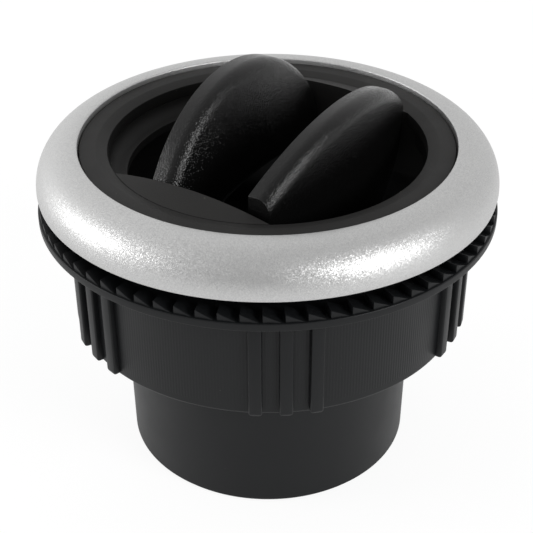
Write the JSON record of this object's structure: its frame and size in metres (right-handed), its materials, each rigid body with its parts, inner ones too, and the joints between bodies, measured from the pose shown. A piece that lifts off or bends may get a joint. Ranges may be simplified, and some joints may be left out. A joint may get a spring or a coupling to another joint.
{
  "type": "dashboard air vent",
  "caption": "Round turning air vent with domed linked vanes, silver trim bead, ribbed rear body with a toothed clamping flange and a hose duct.",
  "frame": {"origin": "centre of the duct's open end face, the lowest face of the part", "axes": "+Z along the vent's axis from the duct to the face; +X to the picture's right; -Y towards the camera"},
  "size_m": [0.0904, 0.0904, 0.0813],
  "materials": {
    "black_housing": "smooth semi-gloss moulded black",
    "silver_trim": "satin silver paint with fine metallic flake",
    "black_face": "matte spark-eroded black",
    "black_vane": "grained matte black",
    "link_plastic": "natural low-friction plastic",
    "seal_foam": "closed-cell foam",
    "washer_rubber": "moulded friction rubber"
  },
  "bodies": {
    "housing": {"rear_body": "black_housing", "front_sleeve": "black_housing", "trim_ring": "silver_trim", "drum_seal": "seal_foam"},
    "drum": {"louvre_drum": "black_vane", "face_ring": "black_face"},
    "left_vane": {"left_vane": "black_vane", "left_crank": "link_plastic", "left_friction_washer": "washer_rubber"},
    "right_vane": {"right_vane": "black_vane", "right_crank": "link_plastic", "right_friction_washer": "washer_rubber"},
    "tie_bar": {"tie_bar": "link_plastic"}
  },
  "joints": [
    {"name": "drum_turn", "type": "hinge", "parent": "housing", "child": "drum", "pos_m": [0, 0, 0.05], "axis": [0, 0, 1], "continuous": true},
    {"name": "left_vane_pivot", "type": "hinge", "parent": "drum", "child": "left_vane", "pos_m": [-0.00822, 0.00534, 0.0615], "axis": [0.5446, 0.8387, 0], "range_deg": [-88, 7]},
    {"name": "right_vane_pivot", "type": "hinge", "parent": "drum", "child": "right_vane", "pos_m": [0.00822, -0.00534, 0.0615], "axis": [0.5446, 0.8387, 0], "range_deg": [-88, 7]},
    {"name": "tie_bar_pivot", "type": "hinge", "parent": "left_vane", "child": "tie_bar", "pos_m": [0.0057, 0.03153, 0.05846], "axis": [0.5446, 0.8387, 0], "range_deg": [-7, 88]}
  ],
  "couplings": [
    {"joint": "right_vane_pivot", "follows": "left_vane_pivot", "ratio": 1},
    {"joint": "tie_bar_pivot", "follows": "left_vane_pivot", "ratio": -1}
  ]
}
